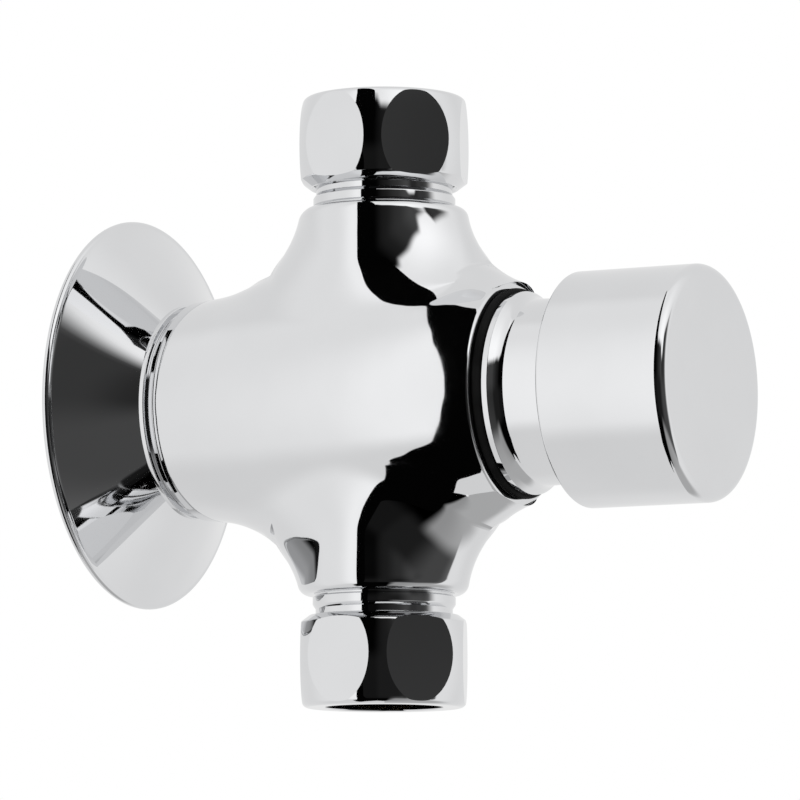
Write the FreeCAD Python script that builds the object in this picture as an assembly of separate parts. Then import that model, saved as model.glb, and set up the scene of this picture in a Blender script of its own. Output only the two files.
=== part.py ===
import FreeCAD, Part
import math
import os

# Timed shower valve, in millimetres.
# The origin is the centre of the wall face, +Z is up and the push button points to -Y.
# Turned pieces are drawn as (distance, radius) corners: the distance is measured from the wall
# for pieces on the button's axis, and from the middle of the valve for pieces on the pipe axis.

Vector = FreeCAD.Vector

# Driving sizes of the body
upright_radius = 15.7
upright_end_height = 36.6
rear_arm_radius = 21.0
middle_arm_radius = 23.1
front_arm_radius = 20.8
widest_past_axis = 1.0
rear_reach = 38.6
front_reach = 28.0
crotch_radius = 21.0
arm_edge_radius = 2.2
rear_edge_radius = 0.5
front_edge_radius = 0.5
tail_radius = 19.3
tail_end = 9.4
tail_ridge_height = 0.6
tail_ridge_width = 0.8
tail_ridge_gap = 0.35
tail_gap = 2.1

# Pipe ends, for 22 mm copper pipe
pipe_socket_radius = 11.1
pipe_socket_floor = 36.0
socket_recess_radius = 9.8
spigot_radius = 13.2
spigot_end_height = 50.0
spigot_ring_radius = 13.45
spigot_ring_start = 36.9
spigot_ring_end = 38.7
spigot_ring_slope = 0.6
spigot_neck_radius = 12.9
olive_cone_depth = 1.3

# Compression nuts
nut_start_height = 40.5
nut_length = 17.3
nut_barrel_radius = 16.9
nut_mouth_radius = 14.1
nut_mouth_chamfer = 1.6
nut_mouth_edge_radius = 0.8
nut_mouth_drop = 0.1
nut_top_drop = 0.6
nut_waist_rounding = 12.0
nut_outer_edge_radius = 3.0
nut_across_flats = 30.5
nut_flat_turn = -6.8
nut_cone_clearance = 0.3
nut_mouth_lip = 0.5
olive_land = 1.4
olive_height = 1.35
olive_edge_width = 0.35

# Fits, broken edges and the overshoot of cutting shapes
running_gap = 0.05
body_gap = 0.3
seat_gap = 0.05
small_edge = 0.4
fine_edge = 0.3
overshoot = 1.0

# Chambers in the body
front_bore_radius = 15.2
front_bore_past_axis = 1.0
seat_web_thickness = 4.0
rear_chamber_radius = 10.0
rear_chamber_depth = 23.0
rear_bore_radius = 13.0
passage_radius = 3.2
inlet_passage_offset = 6.3
outlet_passage_offset = 5.4

# Wall fixing
wall_plate_radius = 27.0
wall_plate_thickness = 2.5
wall_screw_circle = 40.0
wall_screw_hole_radius = 2.4
wall_screw_count = 3
stud_radius = 5.0
stud_rivet_floor = 0.8
stud_tip_radius = 4.2
stud_engagement = 9.0
plug_length = 14.0
plug_slot_width = 4.0
plug_slot_depth = 2.5
plug_seal_thickness = 1.8
lock_nut_across_flats = 17.0
lock_nut_thickness = 5.0

# Wall flange
flange_radius = 37.4
flange_wall = 1.2
flange_neck_radius = 20.5
flange_neck_start = 11.4
flange_neck_end = 12.3
flange_sag = 0.6
flange_rim_height = 1.4
flange_rim_round = 0.45
flange_collar_length = 2.6

# Cartridge housing
body_seal_radius = 19.7
body_seal_bore = 15.5
body_seal_thickness = 1.65
body_seal_rounding = 0.6
collar_radius = 19.0
collar_width = 1.35
cove_width = 2.4
cove_radius = 9.5
neck_root_radius = 17.45
neck_end_radius = 17.05
housing_sleeve_length = 16.0
housing_projection = 23.5
housing_nose_length = 7.5
housing_nose_radius = 16.4
cylinder_radius = 12.0
ring_groove_depth = 0.8
retaining_ring_thickness = 1.0
retaining_ring_from_end = 1.4
retaining_ring_opening = 5.0
retaining_ring_width = 1.6
retainer_thickness = 2.5
retainer_hole_count = 8
retainer_hole_radius = 1.4
retainer_hole_circle = 19.6

# Gland
gland_depth = 4.5
gland_radius = 7.5
gland_flange_radius = 9.5
gland_flange_thickness = 1.5
spindle_seal_section = 1.8
gland_floor_thickness = 1.0

# Button
button_radius = 22.0
button_length = 25.7
button_overlap = 1.8
button_wall = 1.5
button_front_wall = 2.3
button_front_edge_radius = 1.4
button_rear_edge_radius = 0.5
button_travel = 6.0
insert_thickness = 3.2
insert_hub_radius = 8.5
insert_hub_length = 2.6
insert_bore_recess_radius = 6.4
insert_bore_recess_depth = 2.6
screw_head_radius = 5.8
screw_head_thickness = 2.0
screw_shank_radius = 2.0
screw_shank_length = 9.0

# Spindle, piston and spring
spindle_radius = 5.0
journal_radius = 4.0
rod_radius = 3.0
rod_thread_radius = 2.5
spindle_thread_length = 7.0
piston_length = 8.0
piston_front_gap = 2.0
piston_groove_radius = 10.2
piston_groove_width = 3.0
piston_groove_from_front = 2.5
bleed_hole_radius = 0.9
timing_pin_radius = 0.5
timing_pin_offset = 9.15
timing_pin_grip = 2.5
spring_wire_radius = 0.8
spring_mean_radius = 6.6
spring_turns = 6.0

# Seat
seat_outer_radius = 7.5
seat_bore_radius = 5.5
seat_flange_radius = 9.5
seat_flange_thickness = 1.2
seat_lip_height = 0.8
seat_lip_width = 0.6
washer_radius = 8.0
washer_thickness = 3.0
poppet_radius = 8.9
poppet_base_thickness = 2.4
poppet_rim_height = 1.6
spindle_nut_across_flats = 8.0
spindle_nut_thickness = 4.0

# Filter and flow regulator
filter_thickness = 1.2
filter_hole_radius = 0.9
filter_ring_counts = (1, 6, 12)
filter_ring_step = 3.1
regulator_thickness = 3.0
regulator_seal_thickness = 1.2
regulator_seal_bore = 8.3
regulator_hole_count = 6
regulator_hole_radius = 1.3
regulator_hole_circle = 11.0

# The body stands off the wall by the flange, the gap at the tail's ridges and its own rear arm
pipe_axis_from_wall = flange_neck_end + tail_gap + rear_reach


def outline_edges(corners):
    """Closed outline through (point, corner radius) pairs, with each corner rounded by an arc."""
    starts = []
    ends = []
    middles = []
    count = len(corners)
    for index in range(count):
        point, radius = corners[index]
        if radius == 0:
            starts.append(point)
            ends.append(point)
            middles.append(None)
            continue
        back = (corners[index - 1][0] - point).normalize()
        ahead = (corners[(index + 1) % count][0] - point).normalize()
        half_angle = back.getAngle(ahead) / 2
        reach = radius / math.tan(half_angle)
        bisector = (back + ahead).normalize()
        starts.append(point + back * reach)
        ends.append(point + ahead * reach)
        middles.append(point + bisector * (radius / math.sin(half_angle) - radius))
    edges = []
    for index in range(count):
        if middles[index] is not None:
            edges.append(Part.Arc(starts[index], middles[index], ends[index]).toShape())
        following = starts[(index + 1) % count]
        if ends[index].distanceToPoint(following) > 1e-6:
            edges.append(Part.LineSegment(ends[index], following).toShape())
    return edges


def revolved(corners, axis_point, axis_direction):
    wire = Part.Wire(Part.__sortEdges__(outline_edges(corners)))
    return Part.Face(wire).revolve(axis_point, axis_direction, 360)


def turned_on_button_axis(*corners):
    """Solid of revolution about the button's axis from (distance from wall, radius, rounding)."""
    points = []
    for corner in corners:
        distance, radius = corner[0], corner[1]
        rounding = corner[2] if len(corner) > 2 else 0
        points.append((Vector(0, -distance, radius), rounding))
    return revolved(points, Vector(0, 0, 0), Vector(0, 1, 0))


def turned_on_pipe_axis(*corners):
    """Solid of revolution about the pipe axis from (height, radius, rounding)."""
    points = []
    for corner in corners:
        height, radius = corner[0], corner[1]
        rounding = corner[2] if len(corner) > 2 else 0
        points.append((Vector(0, radius - pipe_axis_from_wall, height), rounding))
    return revolved(points, Vector(0, -pipe_axis_from_wall, 0), Vector(0, 0, 1))


def rod_along_button(radius, near, far, x=0.0, z=0.0):
    """Cylinder parallel to the button's axis between two distances from the wall."""
    return Part.makeCylinder(radius, far - near, Vector(x, -near, z), Vector(0, -1, 0))


def rod_along_pipe(radius, low, high, from_wall=pipe_axis_from_wall, x=0.0):
    return Part.makeCylinder(radius, high - low, Vector(x, -from_wall, low), Vector(0, 0, 1))


def ring_on_button_axis(outer, bore, near, far, rounding=0.0):
    return turned_on_button_axis(
        (near, bore), (near, outer, rounding), (far, outer, rounding), (far, bore))


def hexagon_on_button_axis(across_flats, near, far):
    corner_radius = across_flats / math.sqrt(3)
    points = []
    for index in range(7):
        angle = math.radians(60 * index)
        points.append(Vector(corner_radius * math.cos(angle), -near, corner_radius * math.sin(angle)))
    return Part.Face(Part.makePolygon(points)).extrude(Vector(0, near - far, 0))


def around_button(shape, count, first_turn=0.0):
    """Copies of a shape, spaced evenly about the button's axis."""
    copies = []
    for index in range(count):
        turned = shape.copy()
        turned.rotate(Vector(0, 0, 0), Vector(0, 1, 0), first_turn + 360.0 * index / count)
        copies.append(turned)
    return copies


def mirrored_to_bottom(shape):
    return shape.mirror(Vector(0, 0, 0), Vector(0, 0, 1))


# Values worked out from the driving sizes
rear_arm_end = pipe_axis_from_wall - rear_reach
front_arm_end = pipe_axis_from_wall + front_reach
front_bore_floor = pipe_axis_from_wall + front_bore_past_axis
rear_chamber_floor = pipe_axis_from_wall - rear_chamber_depth
inlet_passage_from_wall = pipe_axis_from_wall - inlet_passage_offset
outlet_passage_from_wall = pipe_axis_from_wall + outlet_passage_offset
spigot_mouth_radius = pipe_socket_radius + olive_cone_depth
nut_thread_radius = spigot_radius + running_gap
olive_radius = pipe_socket_radius + olive_height
olive_cone_offset = spigot_end_height - olive_cone_depth - pipe_socket_radius
olive_start = olive_cone_offset + olive_radius + seat_gap * math.sqrt(2)
front_seal_end = front_arm_end + body_seal_thickness
collar_end = front_seal_end + collar_width
neck_start = collar_end + cove_width
housing_start = front_arm_end - housing_sleeve_length
housing_end = front_arm_end + housing_projection
neck_end = housing_end - housing_nose_length
cylinder_end = housing_end - gland_depth
button_rear = neck_end - button_overlap
button_face = button_rear + button_length
retaining_ring_far = housing_start + retaining_ring_from_end + retaining_ring_thickness
retainer_far = retaining_ring_far + retainer_thickness
piston_far = cylinder_end - piston_front_gap
piston_near = piston_far - piston_length
cap_floor = button_face - button_front_wall
insert_near = cap_floor - insert_thickness
hub_near = insert_near - insert_hub_length
screw_seat = cap_floor - insert_bore_recess_depth
seat_web_near = front_bore_floor - seat_web_thickness
seat_lip = seat_web_near - seat_lip_height
poppet_recess = seat_lip - washer_thickness
poppet_near = poppet_recess - poppet_base_thickness
plug_far = rear_chamber_floor - plug_seal_thickness
plug_near = plug_far - plug_length
stud_far = plug_near + stud_engagement
regulator_start = pipe_socket_floor - regulator_thickness
regulator_seal_start = regulator_start - regulator_seal_thickness


def edges_in_plane(shape, coordinate, value):
    """Edges that lie in the plane where the coordinate ("Y" or "Z") has the value."""
    found = []
    for edge in shape.Edges:
        low = getattr(edge.BoundBox, coordinate + "Min")
        high = getattr(edge.BoundBox, coordinate + "Max")
        if abs(low - value) < 1e-4 and abs(high - value) < 1e-4:
            found.append(edge)
    return found


def swelling_arms(spare):
    """Both arms in one, widest near the pipe axis; spare is how far they run on past their ends."""
    widest = pipe_axis_from_wall + widest_past_axis

    def crown(end, radius, run_on):
        """Arc from the widest place through the arm's end and on: its middle and last points."""
        length, drop = end - widest, middle_arm_radius - radius
        size = (length ** 2 + drop ** 2) / (2 * drop)
        points = []
        for along in ((length + run_on) / 2, length + run_on):
            fall = size - math.sqrt(size ** 2 - along ** 2)
            points.append(Vector(0, -widest - along, middle_arm_radius - fall))
        return points

    top = Vector(0, -widest, middle_arm_radius)
    rear_middle, rear_last = crown(rear_arm_end, rear_arm_radius, -spare)
    front_middle, front_last = crown(front_arm_end, front_arm_radius, spare)
    rear_foot = Vector(0, rear_last.y, 0)
    front_foot = Vector(0, front_last.y, 0)
    edges = [
        Part.LineSegment(rear_foot, rear_last),
        Part.Arc(rear_last, rear_middle, top),
        Part.Arc(top, front_middle, front_last),
        Part.LineSegment(front_last, front_foot),
        Part.LineSegment(front_foot, rear_foot),
    ]
    wire = Part.Wire([edge.toShape() for edge in edges])
    return Part.Face(wire).revolve(Vector(0, 0, 0), Vector(0, 1, 0), 360)


def body_outside():
    """Cross of an upright and two arms, drawn too long, blended, then cut back to its ends."""
    spare = upright_end_height
    upright = rod_along_pipe(
        upright_radius, -upright_end_height - spare, upright_end_height + spare)
    cross = upright.fuse(swelling_arms(upright_radius))
    crotch_edges = []
    for edge in cross.Edges:
        box = edge.BoundBox
        middle = edge.valueAt((edge.FirstParameter + edge.LastParameter) / 2)
        from_pipe_axis = math.hypot(middle.x, middle.y + pipe_axis_from_wall)
        crosses = box.XLength > 0.01 and box.ZLength > 0.01
        if crosses and abs(from_pipe_axis - upright_radius) < 0.001:
            crotch_edges.append(edge)
    blended = cross.makeFillet(crotch_radius, crotch_edges)
    limits = Part.makeBox(
        6 * upright_radius, front_arm_end - rear_arm_end, 2 * upright_end_height,
        Vector(-3 * upright_radius, -front_arm_end, -upright_end_height))
    body = blended.common(limits)
    upright_ends = edges_in_plane(body, "Z", upright_end_height)
    upright_ends += edges_in_plane(body, "Z", -upright_end_height)
    body = body.makeFillet(arm_edge_radius, upright_ends)
    body = body.makeFillet(rear_edge_radius, edges_in_plane(body, "Y", -rear_arm_end))
    return body.makeFillet(front_edge_radius, edges_in_plane(body, "Y", -front_arm_end))


def body_spigot():
    """Upper spigot: ring, neck, threaded end and the cone for the olive, without its socket."""
    return turned_on_pipe_axis(
        (upright_end_height - arm_edge_radius, 0),
        (upright_end_height - arm_edge_radius, spigot_neck_radius),
        (spigot_ring_start, spigot_neck_radius),
        (spigot_ring_start, spigot_ring_radius, fine_edge),
        (spigot_ring_end, spigot_ring_radius, fine_edge),
        (spigot_ring_end + spigot_ring_slope, spigot_neck_radius),
        (nut_start_height + nut_mouth_lip, spigot_neck_radius),
        (nut_start_height + nut_mouth_lip + fine_edge, spigot_radius),
        (spigot_end_height, spigot_radius, fine_edge),
        (spigot_end_height, 0))


def pipe_socket():
    return turned_on_pipe_axis(
        (pipe_socket_floor, 0),
        (pipe_socket_floor, pipe_socket_radius),
        (spigot_end_height - olive_cone_depth, pipe_socket_radius),
        (spigot_end_height, spigot_mouth_radius),
        (spigot_end_height + overshoot, spigot_mouth_radius),
        (spigot_end_height + overshoot, 0))


def body_tail():
    """Threaded tail behind the body, with the two turned ridges that show beside the flange."""
    ridge_one = flange_neck_end + tail_ridge_gap
    ridge_two = ridge_one + tail_ridge_width
    crest = tail_radius + tail_ridge_height
    return turned_on_button_axis(
        (tail_end, 0),
        (tail_end, tail_radius, small_edge),
        (ridge_one, tail_radius),
        (ridge_one + tail_ridge_width / 2, crest),
        (ridge_two, tail_radius),
        (ridge_two + tail_ridge_width / 2, crest),
        (rear_arm_end + overshoot, crest),
        (rear_arm_end + overshoot, 0))


def make_valve_body():
    spigot = body_spigot()
    solid = body_outside().fuse([body_tail(), spigot, mirrored_to_bottom(spigot)])
    socket = pipe_socket()
    cuts = [
        socket,
        mirrored_to_bottom(socket),
        rod_along_button(front_bore_radius, front_bore_floor, front_arm_end + overshoot),
        rod_along_button(seat_outer_radius, seat_web_near - overshoot, front_bore_floor + overshoot),
        rod_along_button(rear_chamber_radius, rear_chamber_floor - overshoot, seat_web_near),
        rod_along_button(rear_bore_radius, tail_end - overshoot, rear_chamber_floor),
        rod_along_pipe(
            socket_recess_radius, -pipe_socket_floor - overshoot, filter_thickness - pipe_socket_floor),
        rod_along_pipe(socket_recess_radius, regulator_seal_start, pipe_socket_floor + overshoot),
        rod_along_pipe(passage_radius, -pipe_socket_floor, 0, inlet_passage_from_wall),
        rod_along_pipe(passage_radius, 0, pipe_socket_floor, outlet_passage_from_wall),
    ]
    return solid.cut(cuts)


def make_nut():
    """Upper compression nut: barrel turned, bored for thread and pipe, then six flats milled."""
    top = nut_start_height + nut_length
    cone_sum = olive_start + olive_land + olive_radius + nut_cone_clearance * math.sqrt(2)
    cone_start = cone_sum - nut_thread_radius
    cone_end = cone_sum - pipe_socket_radius
    mouth_end = nut_start_height + nut_mouth_chamfer
    blank = turned_on_pipe_axis(
        (nut_start_height, nut_thread_radius + nut_mouth_lip),
        (nut_start_height, nut_mouth_radius),
        (mouth_end, nut_barrel_radius - nut_mouth_drop, nut_mouth_edge_radius),
        (nut_start_height + nut_length / 2, nut_barrel_radius, nut_waist_rounding),
        (top, nut_barrel_radius - nut_top_drop, nut_outer_edge_radius),
        (top, pipe_socket_radius),
        (cone_end, pipe_socket_radius),
        (cone_start, nut_thread_radius),
        (nut_start_height + nut_mouth_lip, nut_thread_radius))
    flats = []
    reach = nut_barrel_radius * 2
    box_length = nut_length * 3
    for index in range(6):
        cutter = Part.makeBox(reach, reach * 2, box_length)
        cutter.translate(Vector(nut_across_flats / 2, -reach, nut_start_height - nut_length))
        cutter.rotate(Vector(0, 0, 0), Vector(0, 0, 1), nut_flat_turn + 60 * index)
        cutter.translate(Vector(0, -pipe_axis_from_wall, 0))
        flats.append(cutter)
    return blank.cut(flats)


def make_olive():
    bore = pipe_socket_radius
    start_radius = bore + olive_edge_width
    rise = olive_radius - start_radius
    land_end = olive_start + olive_land
    return turned_on_pipe_axis(
        (olive_start - rise, bore),
        (olive_start - rise, start_radius),
        (olive_start, olive_radius),
        (land_end, olive_radius),
        (land_end + rise, start_radius),
        (land_end + rise, bore))


def make_inlet_filter():
    """Perforated strainer in its recess under the floor of the inlet socket."""
    plate = rod_along_pipe(
        socket_recess_radius - seat_gap, -pipe_socket_floor, filter_thickness - pipe_socket_floor)
    holes = []
    for ring, count in enumerate(filter_ring_counts):
        for index in range(count):
            angle = 2 * math.pi * index / count
            x = ring * filter_ring_step * math.cos(angle)
            distance = pipe_axis_from_wall + ring * filter_ring_step * math.sin(angle)
            holes.append(rod_along_pipe(
                filter_hole_radius, -pipe_socket_floor - filter_thickness,
                2 * filter_thickness - pipe_socket_floor, distance, x))
    return plate.cut(holes)


def make_flow_regulator():
    """Flow limiting disc with a ring of drillings, in the recess of the outlet socket."""
    end = pipe_socket_floor
    disc = rod_along_pipe(socket_recess_radius - seat_gap, regulator_start, end)
    holes = []
    for index in range(regulator_hole_count):
        angle = 2 * math.pi * index / regulator_hole_count
        x = regulator_hole_circle / 2 * math.cos(angle)
        distance = pipe_axis_from_wall + regulator_hole_circle / 2 * math.sin(angle)
        holes.append(rod_along_pipe(
            regulator_hole_radius, regulator_start - overshoot, end + overshoot, distance, x))
    return disc.cut(holes)


def make_regulator_seal():
    return turned_on_pipe_axis(
        (regulator_seal_start, regulator_seal_bore),
        (regulator_seal_start, socket_recess_radius - seat_gap),
        (regulator_start, socket_recess_radius - seat_gap),
        (regulator_start, regulator_seal_bore))


def make_wall_plate():
    """Round steel plate screwed to the wall, with a hole in the middle for the stud's rivet end."""
    plate = rod_along_button(wall_plate_radius, 0, wall_plate_thickness)
    hole = rod_along_button(
        wall_screw_hole_radius, -overshoot, wall_plate_thickness + overshoot, 0, wall_screw_circle / 2)
    middle = rod_along_button(
        stud_tip_radius + seat_gap, stud_rivet_floor, wall_plate_thickness + overshoot)
    return plate.cut(around_button(hole, wall_screw_count) + [middle])


def make_wall_stud():
    return turned_on_button_axis(
        (stud_rivet_floor, 0),
        (stud_rivet_floor, stud_tip_radius),
        (wall_plate_thickness, stud_tip_radius),
        (wall_plate_thickness, stud_radius),
        (stud_far, stud_radius, small_edge),
        (stud_far, 0))


def make_stud_lock_nut():
    near = wall_plate_thickness
    far = near + lock_nut_thickness
    nut = hexagon_on_button_axis(lock_nut_across_flats, near, far)
    return nut.cut(rod_along_button(stud_radius + seat_gap, near - overshoot, far + overshoot))


def make_rear_plug():
    """Brass plug in the threaded rear bore, with a driving slot and a blind hole for the stud."""
    plug = turned_on_button_axis(
        (plug_near, 0),
        (plug_near, rear_bore_radius - seat_gap, small_edge),
        (plug_far, rear_bore_radius - seat_gap, small_edge),
        (plug_far, 0))
    slot = Part.makeBox(4 * rear_bore_radius, plug_slot_depth + overshoot, plug_slot_width)
    slot.translate(Vector(-2 * rear_bore_radius, -plug_near - plug_slot_depth, -plug_slot_width / 2))
    stud_hole = rod_along_button(stud_radius + seat_gap, plug_near - overshoot, stud_far + body_gap)
    return plug.cut([slot, stud_hole])


def make_rear_plug_seal():
    return ring_on_button_axis(
        rear_bore_radius - body_gap, rear_chamber_radius + body_gap, plug_far, rear_chamber_floor)


def make_wall_flange():
    """Spun trumpet shell with a rolled rim and a short threaded collar that turns on the tail."""
    bore = tail_radius + running_gap
    middle_distance = (flange_rim_height + flange_neck_start) / 2 - flange_sag
    middle_radius = (flange_radius + flange_neck_radius) / 2
    inner_start = flange_radius - 2 * flange_wall
    collar_start = flange_neck_end - flange_collar_length

    def at(distance, radius):
        return Vector(0, -distance, radius)

    edges = [
        Part.LineSegment(at(0, inner_start), at(0, flange_radius - flange_rim_round)),
        Part.Arc(at(0, flange_radius - flange_rim_round), at(flange_rim_height / 2, flange_radius),
                 at(flange_rim_height, flange_radius - 2 * flange_rim_round)),
        Part.Arc(at(flange_rim_height, flange_radius - 2 * flange_rim_round),
                 at(middle_distance, middle_radius),
                 at(flange_neck_start, flange_neck_radius)),
        Part.LineSegment(at(flange_neck_start, flange_neck_radius),
                         at(flange_neck_end, flange_neck_radius)),
        Part.LineSegment(at(flange_neck_end, flange_neck_radius), at(flange_neck_end, bore)),
        Part.LineSegment(at(flange_neck_end, bore), at(collar_start, bore)),
        Part.Arc(at(collar_start, bore),
                 at(middle_distance - flange_wall, middle_radius - flange_wall / 2),
                 at(0, inner_start)),
    ]
    wire = Part.Wire([edge.toShape() for edge in edges])
    return Part.Face(wire).revolve(Vector(0, 0, 0), Vector(0, 1, 0), 360)


def make_body_seal():
    return ring_on_button_axis(
        body_seal_radius, body_seal_bore, front_arm_end, front_seal_end, body_seal_rounding)


def make_cartridge_housing():
    """Turned brass housing: threaded sleeve, collar, cove, tapered neck, cylinder and gland bore."""
    sleeve_radius = front_bore_radius - seat_gap
    outside = turned_on_button_axis(
        (housing_start, 0),
        (housing_start, sleeve_radius, small_edge),
        (front_seal_end, sleeve_radius),
        (front_seal_end, collar_radius, fine_edge),
        (collar_end, collar_radius, fine_edge / 2),
        (neck_start, neck_root_radius, cove_radius),
        (neck_end, neck_end_radius),
        (neck_end + small_edge, housing_nose_radius),
        (housing_end, housing_nose_radius, small_edge),
        (housing_end, 0))
    groove_near = housing_start + retaining_ring_from_end
    cuts = [
        rod_along_button(cylinder_radius, housing_start - overshoot, cylinder_end),
        rod_along_button(cylinder_radius + ring_groove_depth, groove_near, retaining_ring_far),
        rod_along_button(spindle_radius + running_gap, cylinder_end - overshoot, housing_end + overshoot),
        rod_along_button(gland_radius, cylinder_end + gland_floor_thickness, housing_end + overshoot),
        rod_along_button(gland_flange_radius + seat_gap, housing_end - gland_flange_thickness,
                         housing_end + overshoot),
        rod_along_button(timing_pin_radius, cylinder_end - overshoot, cylinder_end + timing_pin_grip,
                         0, timing_pin_offset),
    ]
    return outside.cut(cuts)


def make_gland_bush():
    """Screwed bush that guides the spindle and holds its seal down."""
    flange_near = housing_end - gland_flange_thickness
    shank_near = cylinder_end + gland_floor_thickness + spindle_seal_section
    return turned_on_button_axis(
        (shank_near, spindle_radius + running_gap),
        (shank_near, gland_radius - seat_gap),
        (flange_near, gland_radius - seat_gap),
        (flange_near, gland_flange_radius),
        (housing_end, gland_flange_radius),
        (housing_end, spindle_radius + running_gap))


def make_spindle_seal():
    near = cylinder_end + gland_floor_thickness
    return ring_on_button_axis(
        gland_radius - seat_gap, spindle_radius + running_gap, near, near + spindle_seal_section,
        small_edge)


def make_timing_pin():
    return rod_along_button(
        timing_pin_radius, piston_near - button_travel - overshoot, cylinder_end + timing_pin_grip,
        0, timing_pin_offset)


def make_spring_retainer():
    disc = ring_on_button_axis(
        cylinder_radius - seat_gap, rod_radius + running_gap, retaining_ring_far, retainer_far)
    hole = rod_along_button(
        retainer_hole_radius, retaining_ring_far - overshoot, retainer_far + overshoot,
        0, retainer_hole_circle / 2)
    return disc.cut(around_button(hole, retainer_hole_count, 180.0 / retainer_hole_count))


def make_retaining_ring():
    """Open spring ring in the groove at the back of the housing."""
    outer = cylinder_radius + ring_groove_depth - seat_gap
    near = retaining_ring_far - retaining_ring_thickness
    ring = ring_on_button_axis(outer, outer - retaining_ring_width, near, retaining_ring_far)
    opening = Part.makeBox(retaining_ring_opening, 3 * retaining_ring_thickness, 2 * outer)
    opening.translate(Vector(-retaining_ring_opening / 2, -retaining_ring_far
                             - retaining_ring_thickness, -2 * outer))
    return ring.cut(opening)


def make_return_spring():
    """Coil spring between the retainer and the back of the piston."""
    length = piston_near - retainer_far - 2 * (spring_wire_radius + seat_gap)
    coil = Part.makeHelix(length / spring_turns, length, spring_mean_radius)
    section = Part.Wire(Part.makeCircle(
        spring_wire_radius, Vector(spring_mean_radius, 0, 0), Vector(0, 1, 0)))
    spring = Part.Wire(coil).makePipeShell([section], True, True)
    spring.rotate(Vector(0, 0, 0), Vector(1, 0, 0), 90)
    spring.translate(Vector(0, -retainer_far - spring_wire_radius - seat_gap, 0))
    return spring


def make_valve_seat():
    """Seat ring screwed into the web from the front, with a raised lip on the inlet side."""
    flange_far = front_bore_floor + seat_flange_thickness
    return turned_on_button_axis(
        (seat_lip, seat_bore_radius),
        (seat_lip, seat_bore_radius + seat_lip_width),
        (seat_lip + seat_lip_height, seat_outer_radius - seat_gap),
        (front_bore_floor, seat_outer_radius - seat_gap),
        (front_bore_floor, seat_flange_radius),
        (flange_far, seat_flange_radius),
        (flange_far, seat_bore_radius))


def make_piston():
    """Acetal piston with a seal groove and the bleed hole that sets the flow time."""
    groove_far = piston_far - piston_groove_from_front
    groove_near = groove_far - piston_groove_width
    outer = cylinder_radius - running_gap
    body = turned_on_button_axis(
        (piston_near, journal_radius + seat_gap),
        (piston_near, outer),
        (groove_near, outer),
        (groove_near, piston_groove_radius),
        (groove_far, piston_groove_radius),
        (groove_far, outer),
        (piston_far, outer),
        (piston_far, journal_radius + seat_gap))
    return body.cut(rod_along_button(
        bleed_hole_radius, piston_near - overshoot, piston_far + overshoot, 0, timing_pin_offset))


def make_piston_seal():
    groove_far = piston_far - piston_groove_from_front
    groove_near = groove_far - piston_groove_width
    return ring_on_button_axis(
        cylinder_radius - running_gap, piston_groove_radius, groove_near, groove_far,
        small_edge)


def make_spindle():
    """Stainless rod: journal for the button, gland diameter, piston seat and the long thin end."""
    return turned_on_button_axis(
        (poppet_near - spindle_thread_length, 0),
        (poppet_near - spindle_thread_length, rod_thread_radius, small_edge),
        (poppet_recess, rod_thread_radius),
        (poppet_recess, rod_radius),
        (piston_near, rod_radius),
        (piston_near, journal_radius),
        (piston_far, journal_radius),
        (piston_far, spindle_radius),
        (hub_near, spindle_radius),
        (hub_near, journal_radius),
        (screw_seat + body_gap, journal_radius),
        (screw_seat + body_gap, screw_shank_radius + seat_gap),
        (screw_seat + body_gap - screw_shank_length, screw_shank_radius + seat_gap),
        (screw_seat + body_gap - screw_shank_length, 0))


def make_seat_washer():
    return ring_on_button_axis(
        washer_radius, rod_radius + seat_gap, poppet_recess, seat_lip, fine_edge)


def make_poppet():
    rim = poppet_recess + poppet_rim_height
    return turned_on_button_axis(
        (poppet_near, rod_thread_radius + seat_gap),
        (poppet_near, poppet_radius, small_edge),
        (rim, poppet_radius),
        (rim, washer_radius + seat_gap),
        (poppet_recess, washer_radius + seat_gap),
        (poppet_recess, rod_thread_radius + seat_gap))


def make_spindle_nut():
    near = poppet_near - spindle_nut_thickness
    nut = hexagon_on_button_axis(spindle_nut_across_flats, near, poppet_near)
    return nut.cut(rod_along_button(
        rod_thread_radius + seat_gap, near - overshoot, poppet_near + overshoot))


def make_button_cap():
    """Chrome cup: straight side, lightly crowned face and rounded front edge."""
    bore = button_radius - button_wall
    return turned_on_button_axis(
        (button_rear, bore),
        (button_rear, button_radius, button_rear_edge_radius),
        (button_face, button_radius, button_front_edge_radius),
        (button_face, 0),
        (cap_floor, 0),
        (cap_floor, bore))


def make_button_insert():
    """Core screwed into the cap, with a hub that turns on the spindle's journal."""
    bore = journal_radius + running_gap
    return turned_on_button_axis(
        (hub_near, bore),
        (hub_near, insert_hub_radius, small_edge),
        (insert_near, insert_hub_radius),
        (insert_near, button_radius - button_wall - seat_gap),
        (cap_floor, button_radius - button_wall - seat_gap),
        (cap_floor, insert_bore_recess_radius),
        (screw_seat, insert_bore_recess_radius),
        (screw_seat, bore))


def make_button_screw():
    """Shoulder screw in the end of the spindle; its head keeps the insert on the journal."""
    seat = screw_seat + body_gap
    return turned_on_button_axis(
        (seat - screw_shank_length, 0),
        (seat - screw_shank_length, screw_shank_radius),
        (seat, screw_shank_radius),
        (seat, screw_head_radius),
        (seat + screw_head_thickness, screw_head_radius, small_edge),
        (seat + screw_head_thickness, 0))


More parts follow.
